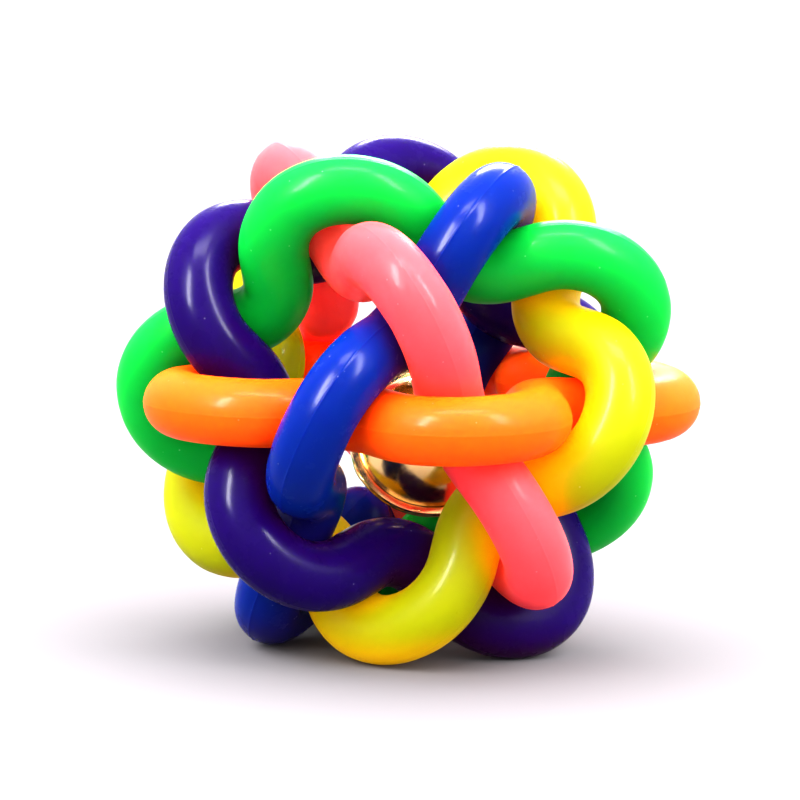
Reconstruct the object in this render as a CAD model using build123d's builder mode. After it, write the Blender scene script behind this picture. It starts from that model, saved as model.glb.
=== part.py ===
from build123d import *
import os
from math import acos, atan, atan2, cos, degrees, hypot, pi, radians, sin, sqrt

os.makedirs("parts", exist_ok=True)

# A hollow ball woven from six soft rubber rings, with a jingle bell loose inside it.
# The origin is the ball's centre. +Z is the ball's vertical five-fold axis, so the ball stands on
# five crests. All six rings are the same moulding: a flat ring with five lobes. Each ring follows one
# great circle of the ball, its crests pass over a neighbour and its troughs pass under one.

# ---- driving dimensions of the ball, in millimetres ----
BALL_RADIUS = 37.5
STRAND_IN = 4.25        # half thickness of a strand, towards the ball's centre
STRAND_ACROSS = 4.0     # half thickness of a strand, square to its ring's plane
TROUGH_RADIUS = 22.3    # from the ball's centre to a strand's middle, at the bottom of a trough
CREST_BEND = 9.6        # bend radius of a crest, on the strand's middle line
TROUGH_BEND = 8.2       # bend radius of a trough, on the strand's middle line
LOBES = 5
SIDE_RINGS = ["purple_ring", "pink_ring", "green_ring", "blue_ring", "yellow_ring"]

# ---- driving dimensions of the bell ----
BELL_DROP = 6.15        # how far the bell's centre lies below the ball's centre
BELL_SIDE = 3.4         # how far it lies to one side
BELL_AZIMUTH = 36.0     # towards which side, in degrees round +Z from +X
POLE_AZIMUTH = -28.0    # which way its slotted pole faces, round +Z from +X
POLE_RISE = 33.0        # and how far above the horizontal
SHELL_RADIUS = 9.3      # outside of both half shells
SHELL_WALL = 0.45       # sheet thickness
RIM_RADIUS = 10.2       # outside of the crimped rim
LIP_SHEET = 0.3         # the rim's folded edge is pressed a little thinner
LIP_WIDTH = 0.55        # how far the folded edge reaches back over the other half's rim
SLOT_WIDTH = 1.4
SLOT_REACH = 40.0       # degrees from the pole to the hole at a slot's end
SLOT_HOLE = 3.0         # diameter of the holes at the slots' ends
SLOT_TURN = 45.0        # how far the cross of slots is turned about the pole
LOOP_TIP = 13.2         # top of the hanging loop, from the bell's centre
LOOP_WIRE = 0.5         # radius of the loop's wire
LOOP_BEND = 1.7         # bend radius of the loop, on the wire's middle line
PELLET_RADIUS = 2.0
PELLET_GAP = 0.15       # play between the pellet and the sheet that it lies on

# ---- what follows from them ----
half_lobe = pi / LOBES
crest_radius = BALL_RADIUS - STRAND_IN

# A crest's arc and a trough's arc are joined by a straight that is tangent to both.
crest_centre = (crest_radius - CREST_BEND, 0.0)
trough_reach = TROUGH_RADIUS + TROUGH_BEND
trough_centre = (trough_reach * cos(half_lobe), trough_reach * sin(half_lobe))
gap_x = trough_centre[0] - crest_centre[0]
gap_y = trough_centre[1] - crest_centre[1]
bends = CREST_BEND + TROUGH_BEND
straight = sqrt(gap_x**2 + gap_y**2 - bends**2)
crest_turn = degrees(atan2(gap_y, gap_x) - acos(bends / hypot(gap_x, gap_y)))
trough_turn = 2 * crest_turn - 360 / LOBES
tilt = atan(2)          # angle between two of the ball's five-fold axes


def ring_plane(index):
    """The plane of a side ring: the level ring's plane, turned half a turn about the axis midway."""
    turn = radians(360 / LOBES * index)
    half = tilt / 2
    mid = Vector(sin(half) * cos(turn), sin(half) * sin(turn), cos(half))
    across = mid * (2 * mid.X) - Vector(1, 0, 0)
    normal = Vector(sin(tilt) * cos(turn), sin(tilt) * sin(turn), cos(tilt))
    return Plane(origin=(0, 0, 0), x_dir=across, z_dir=normal)


def make_ring(name, plane):
    """One woven ring: a closed strand with an oval section, swept round its five lobes."""
    with BuildPart() as ring:
        with BuildLine(plane) as middle:
            end = (0, -crest_radius)
            heading = 0.0
            for lobe in range(LOBES):
                crest_half = JernArc(end, (cos(heading), sin(heading)), CREST_BEND, crest_turn)
                heading += radians(crest_turn)
                down = PolarLine(crest_half @ 1, straight, degrees(heading))
                trough = JernArc(down @ 1, (cos(heading), sin(heading)), TROUGH_BEND, -trough_turn)
                heading -= radians(trough_turn)
                up = PolarLine(trough @ 1, straight, degrees(heading))
                next_half = JernArc(up @ 1, (cos(heading), sin(heading)), CREST_BEND, crest_turn)
                heading += radians(crest_turn)
                end = next_half @ 1
        wire = middle.wire()
        outward = plane.from_local_coords(Vector(0, -1, 0))
        with BuildSketch(Plane(origin=wire @ 0, x_dir=outward, z_dir=wire % 0)):
            Ellipse(STRAND_IN, STRAND_ACROSS)
        sweep(path=wire)
    ring.part.label = name
    export_step(ring.part, f"parts/{name}.step")
    return ring


make_ring("orange_ring", Plane.XY)
for index, ring_name in enumerate(SIDE_RINGS):
    make_ring(ring_name, ring_plane(index))

# ---- the bell: two pressed half shells, crimped together at a rim, with a loop and a pellet ----
side = radians(BELL_AZIMUTH)
bell_centre = Vector(BELL_SIDE * cos(side), BELL_SIDE * sin(side), -BELL_DROP)
facing = radians(POLE_AZIMUTH)
rise = radians(POLE_RISE)
pole = Vector(cos(rise) * cos(facing), cos(rise) * sin(facing), sin(rise))
level = Vector(-sin(facing), cos(facing), 0)
rim_plane = Plane(origin=bell_centre, x_dir=level, z_dir=pole)
cut_plane = Plane(origin=bell_centre, x_dir=level, z_dir=level.cross(pole))
bell_axis = Axis(bell_centre, pole)
inside = SHELL_RADIUS - SHELL_WALL
fold_radius = RIM_RADIUS - LIP_SHEET
dome_foot = sqrt(SHELL_RADIUS**2 - SHELL_WALL**2)
slant = 1 / sqrt(2)     # an arc's middle point lies at 45 degrees

with BuildPart() as slotted_half:
    with BuildSketch(cut_plane):
        with BuildLine():
            ThreePointArc((0, inside), (inside * slant, inside * slant), (inside, 0))
            Line((inside, 0), (fold_radius, 0))
            Line((fold_radius, 0), (fold_radius, SHELL_WALL))
            Line((fold_radius, SHELL_WALL), (dome_foot, SHELL_WALL))
            dome_middle = (SHELL_RADIUS * slant, SHELL_RADIUS * slant)
            ThreePointArc((dome_foot, SHELL_WALL), dome_middle, (0, SHELL_RADIUS))
            Line((0, SHELL_RADIUS), (0, inside))
        make_face()
    revolve(axis=bell_axis)
    slot_end = inside * sin(radians(SLOT_REACH))
    with BuildSketch(rim_plane):
        with PolarLocations(0, 2, start_angle=SLOT_TURN, angular_range=180):
            Rectangle(2 * slot_end, SLOT_WIDTH)
        with PolarLocations(slot_end, 4, start_angle=SLOT_TURN):
            Circle(SLOT_HOLE / 2)
    extrude(amount=SHELL_RADIUS, mode=Mode.SUBTRACT)
slotted_half.part.label = "bell_slotted_half"
export_step(slotted_half.part, "parts/bell_slotted_half.step")

with BuildPart() as loop_half:
    with BuildSketch(cut_plane):
        with BuildLine():
            ThreePointArc((0, -inside), (inside * slant, -inside * slant), (inside, 0))
            lip_foot = fold_radius - LIP_WIDTH
            Polyline(
                (inside, 0),
                (fold_radius, 0),
                (fold_radius, SHELL_WALL),
                (lip_foot, SHELL_WALL),
                (lip_foot, SHELL_WALL + LIP_SHEET),
                (RIM_RADIUS, SHELL_WALL + LIP_SHEET),
                (RIM_RADIUS, -SHELL_WALL),
                (dome_foot, -SHELL_WALL),
            )
            back_middle = (SHELL_RADIUS * slant, -SHELL_RADIUS * slant)
            ThreePointArc((dome_foot, -SHELL_WALL), back_middle, (0, -SHELL_RADIUS))
            Line((0, -SHELL_RADIUS), (0, -inside))
        make_face()
    revolve(axis=bell_axis)
    with BuildSketch(rim_plane):
        with Locations((LOOP_BEND, 0), (-LOOP_BEND, 0)):
            Circle(LOOP_WIRE)
    extrude(amount=-SHELL_RADIUS, mode=Mode.SUBTRACT)
loop_half.part.label = "bell_loop_half"
export_step(loop_half.part, "parts/bell_loop_half.step")

with BuildPart() as loop:
    loop_foot = sqrt(inside**2 - LOOP_BEND**2)
    loop_neck = LOOP_TIP - LOOP_WIRE - LOOP_BEND
    with BuildLine(cut_plane) as loop_path:
        Line((LOOP_BEND, -loop_foot), (LOOP_BEND, -loop_neck))
        loop_top = (0, -loop_neck - LOOP_BEND)
        ThreePointArc((LOOP_BEND, -loop_neck), loop_top, (-LOOP_BEND, -loop_neck))
        Line((-LOOP_BEND, -loop_neck), (-LOOP_BEND, -loop_foot))
    loop_wire = loop_path.wire()
    with BuildSketch(Plane(origin=loop_wire @ 0, z_dir=loop_wire % 0)):
        Circle(LOOP_WIRE)
    sweep(path=loop_wire)
loop.part.label = "bell_loop"
export_step(loop.part, "parts/bell_loop.step")

# the pellet lies in the lowest place inside the bell
pellet_drop = inside - PELLET_GAP - PELLET_RADIUS
with BuildPart() as pellet:
    with Locations(bell_centre - Vector(0, 0, pellet_drop)):
        Sphere(PELLET_RADIUS)
pellet.part.label = "bell_pellet"
export_step(pellet.part, "parts/bell_pellet.step")
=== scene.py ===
# %% [markdown]
# # A woven bell ball
# The toy is a hollow ball of six soft rubber rings, woven over and under each other, with a gold
# jingle bell loose inside. Every ring has the same five lobes. The fixed frame is loaded first,
# because it says where each ring and each half of the bell sits.

# %% Load the frame
import math
import bpy
import numpy as np
from mathutils import Matrix, Vector


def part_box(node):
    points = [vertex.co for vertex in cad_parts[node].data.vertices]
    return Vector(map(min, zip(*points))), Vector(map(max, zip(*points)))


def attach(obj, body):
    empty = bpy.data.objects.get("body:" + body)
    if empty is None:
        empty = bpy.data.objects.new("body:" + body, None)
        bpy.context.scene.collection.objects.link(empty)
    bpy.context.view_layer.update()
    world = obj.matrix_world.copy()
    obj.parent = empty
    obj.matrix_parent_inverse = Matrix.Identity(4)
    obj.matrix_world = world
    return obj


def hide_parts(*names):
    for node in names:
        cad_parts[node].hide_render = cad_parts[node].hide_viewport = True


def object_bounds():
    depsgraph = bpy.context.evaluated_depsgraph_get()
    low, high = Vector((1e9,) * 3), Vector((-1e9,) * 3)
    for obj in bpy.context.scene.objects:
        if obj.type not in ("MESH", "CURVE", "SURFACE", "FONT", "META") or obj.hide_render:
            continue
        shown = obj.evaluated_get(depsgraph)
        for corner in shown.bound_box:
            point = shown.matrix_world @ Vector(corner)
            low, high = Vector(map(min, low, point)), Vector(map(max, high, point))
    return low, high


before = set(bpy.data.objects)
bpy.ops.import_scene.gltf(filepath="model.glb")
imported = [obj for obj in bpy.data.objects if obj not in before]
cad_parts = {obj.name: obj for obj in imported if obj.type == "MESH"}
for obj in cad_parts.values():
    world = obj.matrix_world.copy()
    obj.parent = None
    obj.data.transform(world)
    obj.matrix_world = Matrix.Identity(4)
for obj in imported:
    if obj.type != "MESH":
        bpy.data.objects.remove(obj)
cad_box = [list(corner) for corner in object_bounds()]
MM = 0.001

# %% [markdown]
# ## The camera
# A small object is shot from a little over half a metre with a long lens, so the near and the far
# strands come out almost the same size. The camera looks at the ball's centre from slightly above.

# %% Camera
ball_radius = -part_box("orange_ring")[0].y
camera_turn = math.radians(54.0)
camera_rise = math.radians(7.7)
camera_roll = math.radians(2.0)
camera_distance = 17.5 * ball_radius
ball_width_share = 0.716            # the ball's radius, as a share of half the view's width

towards = Vector((math.sin(camera_turn) * math.cos(camera_rise),
                  -math.cos(camera_turn) * math.cos(camera_rise),
                  math.sin(camera_rise)))
sideways = Vector((math.cos(camera_turn), math.sin(camera_turn), 0))
upwards = towards.cross(sideways)
camera_data = bpy.data.cameras.new("camera")
camera_data.sensor_width = 36
camera_data.lens = camera_data.sensor_width / 2 * ball_width_share * camera_distance / ball_radius
camera_data.clip_end = 50
camera_data.shift_x = -0.005
camera_data.shift_y = -0.005
camera = bpy.data.objects.new("camera", camera_data)
bpy.context.scene.collection.objects.link(camera)
facing = Matrix((sideways, upwards, towards)).transposed().to_4x4()
camera.matrix_world = (Matrix.Translation(towards * camera_distance) @ facing
                       @ Matrix.Rotation(camera_roll, 4, "Z"))
bpy.context.scene.camera = camera
print("lens", round(camera_data.lens), "mm at", round(camera_distance, 3), "m")

# %% [markdown]
# ## The floor
# The ball stands on a plain pale table. Only a soft shadow shows on it, so one large flat face is
# enough, with a matte material that reflects nothing.

# %% Floor
floor_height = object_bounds()[0][2]


def matte_table(colour, roughness):
    """The table's material, with no reflections."""
    material = bpy.data.materials.new("white_table")
    material.use_nodes = True
    shader = material.node_tree.nodes["Principled BSDF"]
    shader.inputs["Base Color"].default_value = (*colour, 1)
    shader.inputs["Roughness"].default_value = roughness
    shader.inputs["Specular IOR Level"].default_value = 0.0
    return material


floor_mesh = bpy.data.meshes.new("floor")
floor_reach = 6.0
floor_mesh.from_pydata([(-floor_reach, -floor_reach, 0), (floor_reach, -floor_reach, 0),
                        (floor_reach, floor_reach, 0), (-floor_reach, floor_reach, 0)],
                       [], [(0, 1, 2, 3)])
floor = bpy.data.objects.new("floor", floor_mesh)
floor.location.z = floor_height
floor.data.materials.append(matte_table((0.156, 0.149, 0.157), 0.6))
bpy.context.scene.collection.objects.link(floor)
print("floor at", round(floor_height * 1000, 2), "mm")

# %% [markdown]
# ## The room
# A bright white room lights a small toy softly from all sides and leaves only a pale shadow. The
# world's background does this at no cost in drawing time. It is brighter overhead than at eye level,
# as under a lit ceiling. Reflections see it dimmer, so that the rubber keeps its strong colours, and
# no film curve is used, for the same reason.

# %% Room
reflected_room = 1.6
room_at_eye_level = 3.1
room_overhead = 9.6
world = bpy.data.worlds.new("white_room")
world.use_nodes = True
room = world.node_tree.nodes["Background"]
room.inputs["Color"].default_value = (1.0, 1.0, 1.0, 1)
ray = world.node_tree.nodes.new("ShaderNodeLightPath")
room_strength = world.node_tree.nodes.new("ShaderNodeMapRange")
room_strength.inputs["To Max"].default_value = reflected_room
world.node_tree.links.new(ray.outputs["Is Glossy Ray"], room_strength.inputs["Value"])
way = world.node_tree.nodes.new("ShaderNodeTexCoord")
way_parts = world.node_tree.nodes.new("ShaderNodeSeparateXYZ")
by_height = world.node_tree.nodes.new("ShaderNodeMapRange")
by_height.inputs["To Min"].default_value = room_at_eye_level
by_height.inputs["To Max"].default_value = room_overhead
world.node_tree.links.new(way.outputs["Generated"], way_parts.inputs[0])
world.node_tree.links.new(way_parts.outputs["Z"], by_height.inputs["Value"])
world.node_tree.links.new(by_height.outputs[0], room_strength.inputs["To Min"])
world.node_tree.links.new(room_strength.outputs[0], room.inputs["Strength"])
bpy.context.scene.world = world
bpy.context.scene.view_settings.view_transform = "Standard"
bpy.context.scene.view_settings.gamma = 0.85
print("room strength:", room_at_eye_level, "to", room_overhead, "and", reflected_room, "in reflections")

# %% [markdown]
# ## The lights
# Large soft boxes stand round the ball. The ones called streaks light only its reflections: they
# draw the long soft highlights of glossy rubber without bleaching its colour.

# %% Lights
def soft_light(name, turn, rise, distance, width, height, watts, streak):
    """A rectangular soft box that faces the ball, placed round it from the camera's side."""
    data = bpy.data.lights.new(name, "AREA")
    data.shape = "RECTANGLE"
    data.size = width
    data.size_y = height
    data.energy = watts
    light = bpy.data.objects.new(name, data)
    angle = camera_turn + math.radians(turn)
    lift = math.radians(rise)
    place = Vector((math.sin(angle) * math.cos(lift), -math.cos(angle) * math.cos(lift),
                    math.sin(lift))) * distance
    light.matrix_world = Matrix.Translation(place) @ place.to_track_quat("Z", "Y").to_matrix().to_4x4()
    light.visible_diffuse = not streak
    bpy.context.scene.collection.objects.link(light)
    return light


SOFT_BOXES = [      # name, turn and rise in degrees, distance, width and height in metres, watts
    ("fill_left", -50, 40, 0.9, 0.5, 0.5, 4.0),
    ("fill_right", 60, 30, 0.9, 0.5, 0.5, 3.0),
    ("high_back", 175, 50, 0.9, 0.7, 0.7, 6.0),
    ("streak_left", -40, 38, 0.7, 0.12, 0.4, 22.0),
    ("streak_right", 48, 44, 0.7, 0.12, 0.4, 13.0),
    ("streak_top", 0, 76, 0.7, 0.4, 0.14, 9.0),
    ("streak_back", 175, 30, 0.8, 0.4, 0.14, 9.0),
]
lights = {box[0]: soft_light(*box, streak=box[0].startswith("streak")) for box in SOFT_BOXES}
lights["high_back"].visible_glossy = False      # its reflection would burn out the upper strands
print("soft boxes:", ", ".join(lights))

# %% [markdown]
# ## The path of a ring
# A ring is flat and has five lobes. Its crests pass over a neighbour and its troughs pass under
# one. A crest's bend and a trough's bend are arcs, joined by a straight that is tangent to both.
# The same few measures give the middle line of every ring.

# %% Path of a ring
LOBES = 5
SAMPLES_PER_LOBE = 132
strand_in = 4.5 * MM            # half thickness towards the ball's centre
strand_across = 4.35 * MM       # half thickness square to the ring's plane
trough_radius = 22.2 * MM
crest_bend = 9.6 * MM
trough_bend = 7.6 * MM
crest_radius = ball_radius - strand_in


def lobed_path():
    """The middle line's points and outward normals, crest first, in the ring's plane, and its length."""
    half = math.pi / LOBES
    crest = np.array([crest_radius - crest_bend, 0.0])
    trough = (trough_radius + trough_bend) * np.array([math.cos(half), math.sin(half)])
    apart = trough - crest
    reach = math.hypot(*apart)
    bends = crest_bend + trough_bend
    straight = math.sqrt(reach ** 2 - bends ** 2)
    crest_turn = math.atan2(apart[1], apart[0]) - math.acos(bends / reach)
    trough_turn = crest_turn - half
    lengths = [crest_bend * crest_turn, straight, trough_bend * trough_turn]
    half_length = sum(lengths)
    steps = np.arange(SAMPLES_PER_LOBE) / SAMPLES_PER_LOBE * 2 * half_length
    points = []
    headings = []
    for step in steps:
        mirrored = step > half_length
        along = 2 * half_length - step if mirrored else step
        if along < lengths[0]:
            turn = along / crest_bend
            point = crest + crest_bend * np.array([math.cos(turn), math.sin(turn)])
        elif along < lengths[0] + straight:
            turn = crest_turn
            start = crest + crest_bend * np.array([math.cos(turn), math.sin(turn)])
            point = start + (along - lengths[0]) * np.array([-math.sin(turn), math.cos(turn)])
        else:
            turn = crest_turn - (along - lengths[0] - straight) / trough_bend
            point = trough - trough_bend * np.array([math.cos(turn), math.sin(turn)])
        if mirrored:
            angle = math.atan2(point[1], point[0])
            distance = math.hypot(*point)
            point = distance * np.array([math.cos(2 * half - angle), math.sin(2 * half - angle)])
            turn = 2 * half - turn
        points.append(point)
        headings.append(turn)
    normals = np.stack([np.cos(headings), np.sin(headings)], axis=1)
    all_points = []
    all_normals = []
    for lobe in range(LOBES):
        spin = 2 * half * lobe - math.pi / 2
        turned = np.array([[math.cos(spin), -math.sin(spin)], [math.sin(spin), math.cos(spin)]])
        all_points.append(np.array(points) @ turned.T)
        all_normals.append(normals @ turned.T)
    return np.vstack(all_points), np.vstack(all_normals), 2 * half_length * LOBES


ring_points, ring_normals, ring_length = lobed_path()
print("one ring's middle line is", round(ring_length * 1000, 1), "mm long")

# %% [markdown]
# ## Where each ring sits
# The level ring lies flat, halfway up the ball. Each of the other five is that ring given half a turn
# about an axis midway between the two rings' axes. The axes of the six rings are the five-fold
# axes of a ball built from pentagons, so neighbours cross in the same way everywhere. A hand-woven
# ball is never quite regular: some lobes stand off by up to three millimetres. Each such lobe is given
# as two plain distances, seen from the front, and the rest of its ring bends smoothly with it.

# %% Ring places
axis_tilt = math.atan(2)        # between the level ring's axis and any other ring's
RINGS = ["orange_ring", "purple_ring", "pink_ring", "green_ring", "blue_ring", "yellow_ring"]


def ring_turn(index):
    """The rotation that takes the level ring to ring number index."""
    if index == 0:
        return np.eye(3)
    turn = math.radians(72 * (index - 1))
    middle = np.array([math.sin(axis_tilt / 2) * math.cos(turn),
                       math.sin(axis_tilt / 2) * math.sin(turn), math.cos(axis_tilt / 2)])
    return 2 * np.outer(middle, middle) - np.eye(3)


def laid(flat, turned):
    """Flat rows of x and y, laid in a ring's plane by a rotation."""
    return np.column_stack([flat, np.zeros(len(flat))]) @ turned.T


LOBE_GIVE = {                   # single lobes that stand off: crest number, then mm across and up
    "orange_ring": [(0, -1.0, 0.1), (2, 1.1, 0.0)],
    "purple_ring": [(1, 0.0, 0.9), (2, 0.6, 0.0), (3, -0.8, 0.0), (4, 2.0, -0.2)],
    "pink_ring": [(4, 1.2, 0.1)],
    "green_ring": [(0, -0.3, 3.0), (3, -1.6, -0.8), (4, 1.2, 0.0)],
    "blue_ring": [(2, 0.2, -1.0), (3, -0.5, 0.0), (4, 0.0, -1.6)],
    "yellow_ring": [(0, -0.7, 0.4), (3, 0.2, 0.6), (4, 0.3, 1.2)],
}


GIVE_WIDTH = 0.42               # how far along its ring a lobe's give reaches, in lobes


def lobe_give(ring):
    """How far each point of a ring's middle line gives way, as seen from the front."""
    give = np.zeros((len(ring_points), 3))
    for crest, across, up in LOBE_GIVE[ring]:
        rows = np.arange(len(give)) - crest * SAMPLES_PER_LOBE
        rows = (rows + len(give) // 2) % len(give) - len(give) // 2
        share = np.exp(-(rows / (GIVE_WIDTH * SAMPLES_PER_LOBE)) ** 2)
        give += share[:, None] * np.array(across * MM * sideways + up * MM * upwards)
    return give


middles = []                    # each ring's middle line
outwards = []                   # the way out from the ring, square to its strand
across_ways = []                # square to the ring's plane
for index, ring in enumerate(RINGS):
    turned = ring_turn(index)
    middles.append(laid(ring_points, turned) + lobe_give(ring))
    outwards.append(laid(ring_normals, turned))
    across_ways.append(np.tile(turned[:, 2], (len(ring_points), 1)))
print("lobes that stand off:", sum(len(gives) for gives in LOBE_GIVE.values()), "of", LOBES * len(RINGS))

# %% [markdown]
# ## Settling the weave
# Lobes that stand off would push some strands into each other. Rubber gives way by bending, so the
# middle lines are settled: wherever two come nearer than one strand's thickness they push apart,
# and each push is spread along the ring, because rubber bends in long soft curves. The sides of the
# frame's box push inwards in the same way, so that no strand sinks into the table, and the hollow
# pushes outwards, so that the bell can roll.

# %% Settle the weave
SETTLE_ROUNDS = 60
SETTLE_STEP = 4                 # only every fourth sample pushes
PUSH_SHARE = 0.3                # how much of each push is made in one round
strand_reach = 8.85 * MM        # how close two middle lines may come
spread_steps = np.arange(-24, 25)
spread = np.exp(-(spread_steps / 9.0) ** 2)


def push_apart(line, other):
    """How each point of a coarse line must move so that other's strand fits beside it."""
    between = line[:, None, :] - other[None, :, :]
    distance = np.linalg.norm(between, axis=2)
    nearest = distance.argmin(axis=1)
    rows = np.arange(len(line))
    gap = distance[rows, nearest]
    short = np.maximum(strand_reach - gap, 0)
    return between[rows, nearest] / gap[:, None] * short[:, None]


def spread_along(pushes):
    """Shares each push with its neighbours along the ring, keeping the largest push whole."""
    total = np.zeros_like(pushes)
    reach = np.zeros(len(pushes))
    size = np.linalg.norm(pushes, axis=1) + 1e-9
    for step, share in zip(spread_steps, spread):
        total += np.roll(pushes * (size[:, None] * share), step, axis=0)
        reach = np.maximum(reach, np.roll(size * share, step))
    direction = total / (np.linalg.norm(total, axis=1)[:, None] + 1e-12)
    return direction * reach[:, None]


count = len(ring_points)
coarse = [line[::SETTLE_STEP].copy() for line in middles]
start = [line.copy() for line in coarse]
lowest = np.array(cad_box[0]) + strand_in
highest = np.array(cad_box[1]) - strand_in
bell_sweep = 17.6 * MM          # how far from the ball's centre the rolling bell reaches
hollow_reach = bell_sweep + strand_in
for _ in range(SETTLE_ROUNDS):
    moves = [np.zeros_like(line) for line in coarse]
    for one in range(len(RINGS)):
        for other in range(len(RINGS)):
            if one != other:
                moves[one] += push_apart(coarse[one], coarse[other])
        moves[one] += np.maximum(lowest - coarse[one], 0) - np.maximum(coarse[one] - highest, 0)
        from_centre = np.linalg.norm(coarse[one], axis=1)[:, None]
        moves[one] += coarse[one] / from_centre * np.maximum(hollow_reach - from_centre, 0)
    coarse = [line + PUSH_SHARE * spread_along(move) for line, move in zip(coarse, moves)]
for ring in range(len(RINGS)):
    moved = coarse[ring] - start[ring]
    fine = np.arange(count) / SETTLE_STEP
    for axis in range(3):
        middles[ring][:, axis] += np.interp(fine, np.arange(len(moved) + 1),
                                            np.append(moved[:, axis], moved[0, axis]))
closest = min(np.linalg.norm(coarse[a][:, None] - coarse[b][None], axis=2).min()
              for a in range(len(RINGS)) for b in range(a))
print("closest middle lines:", round(closest * 1000, 2), "mm; largest move:",
      round(max(np.linalg.norm(c - s, axis=1).max() for c, s in zip(coarse, start)) * 1000, 2), "mm")

# %% [markdown]
# ## The strand and its mould line
# A strand is moulded in two halves that meet in the ring's own plane. A fine raised line is left
# where they meet, along the outermost and the innermost edge. The section has extra points there,
# so that the line is real geometry and catches the light.

# %% Section of a strand
SECTION_STEPS = 44
LINE_OFFSETS = (0.08, 0.16, 0.34)       # millimetres from a mould line to its extra points
mould_line_height = {ring: 0.035 * MM for ring in RINGS}
mould_line_height["blue_ring"] = 0.085 * MM      # the line shows most on this ring
mould_line_half_width = 0.12 * MM


def section_angles():
    """Angles round the section, even, with a close cluster at the two mould lines."""
    even = [2 * math.pi * step / SECTION_STEPS for step in range(SECTION_STEPS)]
    near = [offset * MM / strand_in for offset in LINE_OFFSETS]
    cluster = [base + sign * offset for base in (0, math.pi) for sign in (-1, 1) for offset in near]
    return np.array(sorted(angle % (2 * math.pi) for angle in even + cluster))


angles = section_angles()
off_line = np.abs(np.sin(angles)) * strand_across
line_shape = np.exp(-(off_line / mould_line_half_width) ** 2)


def section_directions(ring):
    """The outward and the across direction of each section, square to the settled middle line."""
    line = middles[ring]
    along = np.roll(line, -1, 0) - np.roll(line, 1, 0)
    along /= np.linalg.norm(along, axis=1)[:, None]
    across = across_ways[ring] - along * (across_ways[ring] * along).sum(1)[:, None]
    across /= np.linalg.norm(across, axis=1)[:, None]
    return np.cross(along, across), across


directions = [section_directions(ring) for ring in range(len(RINGS))]


def spokes(ring):
    """From the middle line to the skin, as (along, round, xyz), before anything presses on it."""
    outward, across = directions[ring]
    radial = np.cos(angles) * (strand_in + mould_line_height[RINGS[ring]] * line_shape)
    sideways_reach = np.sin(angles) * strand_across
    return (outward[:, None, :] * radial[None, :, None]
            + across[:, None, :] * sideways_reach[None, :, None])


print("points in one strand:", count * len(angles))

# %% [markdown]
# ## Soft contact
# The rings are woven tightly and the rubber is soft, so strands press lightly where they touch. Every
# point of a strand that would sit inside a neighbour is drawn back towards its own middle line, to
# the surface that both share, and the edges of each dent are then blurred.

# %% Soft contact
contact_gap = 0.008             # share of the section left open between two pressed strands
WINDOW = np.arange(-45, 46)     # samples of the neighbour's middle line that are searched
COARSE = 3                      # every third sample is enough to find the neighbourhood
TOUCHING = 2.2 * strand_in      # two middle lines further apart than this never press
DEEPEST_PRESS = 0.5             # a section is never squeezed below this share
HALVINGS = 9                    # steps of the search for the shared surface


def gauge_in(points, other, nearest):
    """How far out points lie in another strand's section: 1 is its skin, 0 its middle line."""
    candidates = (nearest[:, None] + WINDOW) % count
    between = points[:, None, :] - middles[other][candidates]
    best = (between ** 2).sum(axis=2).argmin(axis=1)
    rows = np.arange(len(points))
    off = between[rows, best]
    section = candidates[rows, best]
    outward, across = directions[other]
    return np.hypot((off * outward[section]).sum(1) / strand_in,
                    (off * across[section]).sum(1) / strand_across)


def pressed_swell(ring):
    """The scale of the section at each point, below 1 where a neighbour presses."""
    reach = spokes(ring)
    swell = np.ones(reach.shape[:2])
    for other in range(len(RINGS)):
        if other == ring:
            continue
        distance = np.linalg.norm(middles[ring][:, None] - middles[other][None, ::COARSE], axis=2)
        close = np.flatnonzero(distance.min(axis=1) < TOUCHING)
        nearest = np.repeat(distance[close].argmin(axis=1) * COARSE, len(angles))
        centre = np.repeat(middles[ring][close], len(angles), axis=0)
        spoke = reach[close].reshape(-1, 3)
        inside = np.flatnonzero(gauge_in(centre + spoke, other, nearest) < 1.0 + contact_gap)
        low = np.full(len(inside), DEEPEST_PRESS)
        high = np.ones(len(inside))
        for _ in range(HALVINGS):
            middle = (low + high) / 2
            place = centre[inside] + spoke[inside] * middle[:, None]
            pressed = gauge_in(place, other, nearest[inside]) < middle + contact_gap
            high = np.where(pressed, middle, high)
            low = np.where(pressed, low, middle)
        patch = np.ones(len(spoke))
        patch[inside] = low
        swell[close] = np.minimum(swell[close], patch.reshape(len(close), -1))
    return swell


def softened(swell, rounds):
    """Blurs the dents' edges without letting any point come back out."""
    soft = swell.copy()
    for _ in range(rounds):
        along = (np.roll(soft, 1, 0) + soft + np.roll(soft, -1, 0)) / 3
        blurred = (np.roll(along, 1, 1) + along + np.roll(along, -1, 1)) / 3
        soft = np.minimum(swell, blurred)
    return soft


swells = [softened(pressed_swell(ring), 6) for ring in range(len(RINGS))]
print("deepest dents:", [round(float(1 - swell.min()) * strand_in * 1000, 2) for swell in swells], "mm")

# %% [markdown]
# ## Helpers for materials
# Every material here is a small tree of nodes. A few helpers keep them short: one adds a node, one
# maps a value from one range to another, and one mixes two colours.

# %% Material helpers
def new_material(name):
    """A new material, its node tree and its shader."""
    material = bpy.data.materials.new(name)
    material.use_nodes = True
    return material, material.node_tree, material.node_tree.nodes["Principled BSDF"]


def add_node(tree, kind, settings=None, **inputs):
    """Adds a node, sets its properties, and sets or links its inputs, by name or as i0, i1 and so on."""
    node = tree.nodes.new(kind)
    for key, value in (settings or {}).items():
        setattr(node, key, value)
    for key, value in inputs.items():
        socket = node.inputs[int(key[1:])] if key[0] == "i" and key[1:].isdigit() else node.inputs[key]
        if isinstance(value, bpy.types.NodeSocket):
            tree.links.new(value, socket)
        else:
            socket.default_value = value
    return node


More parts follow.
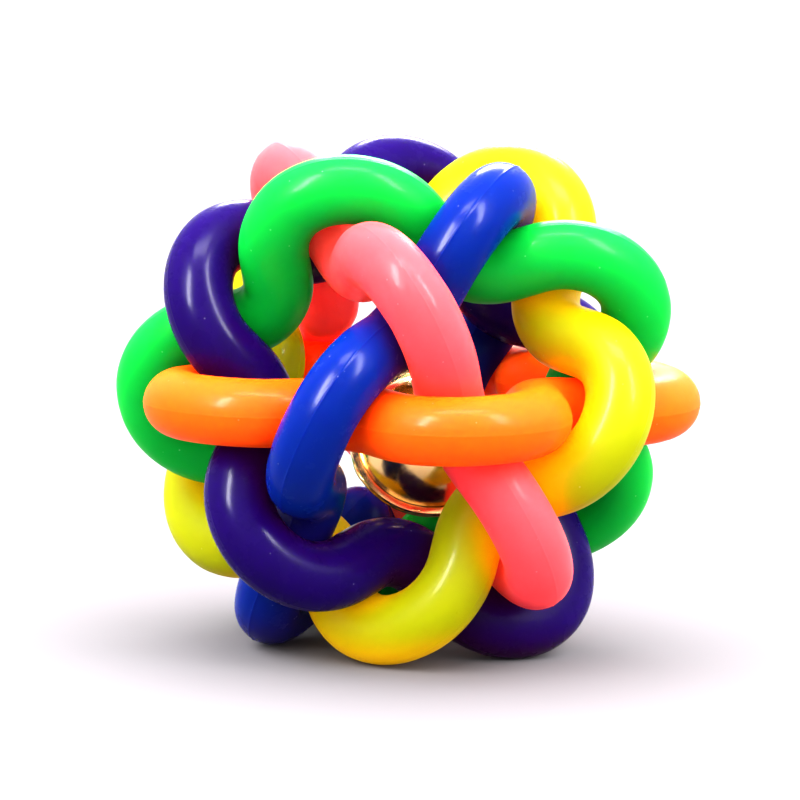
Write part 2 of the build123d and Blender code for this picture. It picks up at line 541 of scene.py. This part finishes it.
def object_place(tree):
    """The place on the piece, in metres, that every pattern follows."""
    return add_node(tree, "ShaderNodeTexCoord").outputs["Object"]


def noise(tree, place, scale, detail, roughness=0.5):
    """A cloudy pattern. The scale is in waves per metre."""
    return add_node(tree, "ShaderNodeTexNoise", Vector=place, Scale=scale, Detail=detail,
                    Roughness=roughness).outputs["Fac"]


def spots(tree, place, scale):
    """The distance to the nearest of many scattered points."""
    return add_node(tree, "ShaderNodeTexVoronoi", Vector=place, Scale=scale).outputs["Distance"]


def ranged(tree, value, start, end, low=0.0, high=1.0):
    """Maps the values from start to end onto low to high."""
    return add_node(tree, "ShaderNodeMapRange", i0=value, i1=start, i2=end, i3=low, i4=high).outputs[0]


def mixed(tree, share, first, second):
    """Mixes two colours. The first may be another mix."""
    if not isinstance(first, bpy.types.NodeSocket):
        first = (*first, 1)
    return add_node(tree, "ShaderNodeMix", {"data_type": "RGBA"}, i0=share, i6=first,
                    i7=(*second, 1)).outputs[2]


print("material helpers ready")

# %% [markdown]
# ## Rubber
# The rings are a glossy, slightly see-through thermoplastic rubber. Light enters a few tenths of a
# millimetre and comes back coloured, so the shadows stay warm and bright. Subsurface scattering does
# most of this. Deep between two strands it is too weak, so a painted shade colour is mixed into the
# colour in the crevices, and the same colour is emitted there as a painted glow. The skin has a faint
# flow pattern, tiny pits and a few dust specks.

# %% Rubber
def rubber(name, colour, deep, painted_crevice_colour, glow, smooth, rough, painted_glow_strength):
    """Moulded rubber: colour on the skin, deep in flow marks, a painted shade colour for the crevices,
    glow as the scattering radius inside, a roughness that wanders from smooth to rough, and the
    strength of the painted glow that the crevices emit."""
    material, tree, shader = new_material(name)
    place = object_place(tree)
    flow = ranged(tree, noise(tree, place, 90.0, 3.0, 0.55), 0.35, 0.75, high=0.55)
    body = mixed(tree, flow, colour, deep)
    specks = ranged(tree, spots(tree, place, 420.0), 0.035, 0.06, 0.15, 0.0)
    dusty = mixed(tree, specks, body, [0.5 + 0.5 * channel for channel in colour])
    # Painted shade and glow: where ambient occlusion finds a crevice, the colour is mixed towards the
    # painted crevice colour, and that colour is emitted as a painted glow.
    nearness = add_node(tree, "ShaderNodeAmbientOcclusion", {"samples": 6}, Distance=0.01)
    painted_crevice_mask = ranged(tree, nearness.outputs["AO"], 0.15, 0.72, 1.0, 0.0)
    tree.links.new(mixed(tree, painted_crevice_mask, dusty, painted_crevice_colour), shader.inputs["Base Color"])
    painted_crevice_glow = add_node(tree, "ShaderNodeMath", {"operation": "MULTIPLY"}, i0=painted_crevice_mask, i1=painted_glow_strength)
    tree.links.new(painted_crevice_glow.outputs[0], shader.inputs["Emission Strength"])
    shader.inputs["Emission Color"].default_value = (*painted_crevice_colour, 1)
    shader.inputs["Subsurface Weight"].default_value = 0.75
    shader.inputs["Subsurface Radius"].default_value = glow
    shader.inputs["Subsurface Scale"].default_value = 0.004
    shader.inputs["IOR"].default_value = 1.45
    shader.inputs["Specular IOR Level"].default_value = 0.042
    shader.inputs["Coat Weight"].default_value = 0.05
    shader.inputs["Coat Roughness"].default_value = 0.15
    gloss = ranged(tree, noise(tree, place, 260.0, 4.0, 0.6), 0.3, 0.7, smooth, rough)
    tree.links.new(gloss, shader.inputs["Roughness"])
    peel = add_node(tree, "ShaderNodeBump", Height=noise(tree, place, 900.0, 3.0, 0.6), Strength=0.12,
                    Distance=0.00008)
    pits = add_node(tree, "ShaderNodeBump", Height=ranged(tree, spots(tree, place, 260.0), 0.02, 0.07),
                    Strength=0.35, Distance=0.00006, Normal=peel.outputs[0])
    tree.links.new(pits.outputs[0], shader.inputs["Normal"])
    return material


# %% [markdown]
# ## Six colours of rubber
# The six rings are one rubber in six colours. The dark colours are a little smoother, which is why
# their highlights look sharper.

# %% Six rubbers
# Each: colour, flow colour, painted crevice colour (painted shade and glow), scattering radius, smooth and
# rough, painted glow strength.
rubbers = {
    "orange_ring": rubber("orange_rubber", (0.97, 0.092, 0.003), (0.96, 0.078, 0.002),
                          (1.0, 0.062, 0.001), (1.0, 0.3, 0.08), 0.34, 0.46, 0.12),
    "purple_ring": rubber("purple_rubber", (0.0085, 0.0003, 0.07), (0.0065, 0.0002, 0.05),
                          (0.017, 0.0002, 0.022), (0.5, 0.1, 1.0), 0.2, 0.34, 0.3),
    "pink_ring": rubber("pink_rubber", (0.97, 0.064, 0.078), (0.96, 0.05, 0.06),
                        (1.0, 0.075, 0.048), (1.0, 0.25, 0.2), 0.32, 0.44, 0.15),
    "green_ring": rubber("green_rubber", (0.0022, 0.32, 0.036), (0.0015, 0.28, 0.026),
                         (0.001, 0.27, 0.022), (0.2, 1.0, 0.2), 0.32, 0.44, 0.1),
    "blue_ring": rubber("blue_rubber", (0.0004, 0.0125, 0.155), (0.0003, 0.009, 0.125),
                        (0.009, 0.004, 0.11), (0.1, 0.2, 1.0), 0.18, 0.3, 0.1),
    "yellow_ring": rubber("yellow_rubber", (0.255, 0.27, 0.0012), (0.245, 0.245, 0.0008),
                          (0.62, 0.33, 0.001), (1.0, 0.75, 0.08), 0.32, 0.44, 0.4),
}
print("rubbers:", ", ".join(material.name for material in rubbers.values()))

# %% [markdown]
# ## The six rings
# Each ring is one closed tube of quads, laid on its path and turned to its place. It replaces the
# hard ring of the frame and rides on that ring's body, so it can slip with its joint. Moulded rubber
# is seldom flawless, so each ring has a small nick or two in its skin.

# %% Build the rings
NICKS = {       # crest number, samples past it, degrees round the section, depth and width in mm
    "orange_ring": [(3, 20, 20, 0.12, 0.5)],
    "purple_ring": [(1, -14, -15, 0.12, 0.5)],
    "pink_ring": [(4, 16, 8, 0.16, 0.5), (2, 6, 10, 0.12, 0.5)],
    "green_ring": [(4, 9, 0, 0.12, 0.6)],
    "blue_ring": [(2, 4, 0, 0.3, 0.7), (2, -3, 14, 0.2, 0.5)],
    "yellow_ring": [(2, -10, 25, 0.12, 0.5)],
}


def tube_faces(rows, columns):
    """Quads of a closed tube whose ends meet."""
    faces = []
    for row in range(rows):
        next_row = (row + 1) % rows
        for column in range(columns):
            next_column = (column + 1) % columns
            faces.append((row * columns + column, next_row * columns + column,
                          next_row * columns + next_column, row * columns + next_column))
    return faces


def closed_tube(name, points, material):
    """A smooth closed tube of quads, from points as (along, round, xyz)."""
    mesh = bpy.data.meshes.new(name)
    mesh.from_pydata(points.reshape(-1, 3).tolist(), [], tube_faces(*points.shape[:2]))
    mesh.polygons.foreach_set("use_smooth", [True] * len(mesh.polygons))
    mesh.update()
    tube = bpy.data.objects.new(name, mesh)
    tube.data.materials.append(material)
    bpy.context.scene.collection.objects.link(tube)
    return tube


def nicked(swell, crest, offset, turn, depth, width):
    """Adds one small round nick, a few samples off a crest and some way round the section."""
    rows = (np.arange(count) - crest * SAMPLES_PER_LOBE - offset + count // 2) % count - count // 2
    along = rows * ring_length / count
    round_it = ((angles - math.radians(turn) + math.pi) % (2 * math.pi) - math.pi) * strand_in
    off = np.hypot(along[:, None], round_it[None, :])
    return swell * (1 - depth / strand_in * np.exp(-(off / width) ** 4))


for index, node in enumerate(RINGS):
    swell = swells[index]
    for crest, offset, turn, depth, width in NICKS[node]:
        swell = nicked(swell, crest, offset, turn, depth * MM, width * MM)
    points = middles[index][:, None, :] + spokes(index) * swell[..., None]
    strand = closed_tube(node + "_strand", points, rubbers[node])
    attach(strand, node)
    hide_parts(node)
print("rings:", len(RINGS), "faces each:", len(strand.data.polygons))

# %% [markdown]
# ## The bell
# The bell is pressed from thin sheet and plated gold. Plating is mirror bright, with fine rubbing
# marks, cloudy patches and a slightly uneven surface.

# %% Gold plate and steel
def plated(name, colour, worn, low, high, ripple):
    """Bright plated sheet: colour, worn patches, roughness from low to high, ripple of the sheet."""
    material, tree, shader = new_material(name)
    place = object_place(tree)
    clouds = ranged(tree, noise(tree, place, 260.0, 5.0, 0.6), 0.45, 0.75)
    tree.links.new(mixed(tree, clouds, colour, worn), shader.inputs["Base Color"])
    shader.inputs["Metallic"].default_value = 1.0
    gloss = ranged(tree, noise(tree, place, 1400.0, 3.0, 0.7), 0.3, 0.7, low, high)
    tree.links.new(gloss, shader.inputs["Roughness"])
    bump = add_node(tree, "ShaderNodeBump", Height=noise(tree, place, 130.0, 0.6), Strength=0.5,
                    Distance=ripple)
    tree.links.new(bump.outputs[0], shader.inputs["Normal"])
    return material


gold = plated("gold_plate", (0.98, 0.67, 0.31), (0.8, 0.48, 0.19), 0.12, 0.26, 0.00012)
steel = plated("pellet_steel", (0.55, 0.55, 0.56), (0.3, 0.3, 0.31), 0.25, 0.45, 0.0001)
for node, metal in (("bell_slotted_half", gold), ("bell_loop_half", gold), ("bell_loop", gold),
                    ("bell_pellet", steel)):
    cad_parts[node].data.materials.clear()
    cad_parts[node].data.materials.append(metal)
print("bell metals:", gold.name, "and", steel.name)

# %% [markdown]
# ## The bell's crimp
# The two halves of a jingle bell are joined by folding one lip over the other. The fold is never
# true: it waves up and down and in and out. It is drawn as one closed, slightly flattened bead that
# runs round the edge of the lip, with a few waves of different lengths added together.

# %% Crimp round the lip
CRIMP_STEPS = 360
CRIMP_SECTION = 14
bell_turn, bell_out, bell_drop = math.radians(36), 3.4, 6.15       # where the bell rests, in mm
bell_centre = np.array([bell_out * math.cos(bell_turn), bell_out * math.sin(bell_turn), -bell_drop]) * MM
pole_turn, pole_rise = math.radians(-28), math.radians(33)          # which way the bell's pole points
pole = np.array([math.cos(pole_rise) * math.cos(pole_turn), math.cos(pole_rise) * math.sin(pole_turn),
                 math.sin(pole_rise)])
level = np.array([-math.sin(pole_turn), math.cos(pole_turn), 0.0])
up_the_rim = np.cross(pole, level)
crimp_radius = 10.08 * MM
crimp_across = 0.2 * MM
crimp_along = 0.36 * MM


def wave(turn, sizes):
    """A sum of sine waves round the lip: (waves per turn, height, start) each."""
    return sum(height * np.sin(number * turn + begin) for number, height, begin in sizes)


turns = np.linspace(0, 2 * math.pi, CRIMP_STEPS, endpoint=False)
ripple_up = wave(turns, ((3, 0.12, 0.4), (7, 0.2, 1.1), (11, 0.12, 2.3), (17, 0.06, 0.2))) * MM
ripple_out = wave(turns, ((5, 0.06, 2.0), (9, 0.06, 0.7), (23, 0.025, 1.3))) * MM
thickness = 1 + wave(turns, ((13, 0.14, 0.5), (29, 0.1, 1.9)))
outs = np.cos(turns)[:, None] * level + np.sin(turns)[:, None] * up_the_rim
centres = bell_centre + outs * (crimp_radius + ripple_out)[:, None] + pole * ripple_up[:, None]
section_turns = np.linspace(0, 2 * math.pi, CRIMP_SECTION, endpoint=False)
crimp_points = (centres[:, None]
                + outs[:, None] * (np.cos(section_turns)[:, None] * crimp_across) * thickness[:, None, None]
                + pole * (np.sin(section_turns)[:, None] * crimp_along))
crimp = closed_tube("bell_crimp", crimp_points, gold)
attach(crimp, "bell")
print("crimp points:", len(crimp.data.vertices))
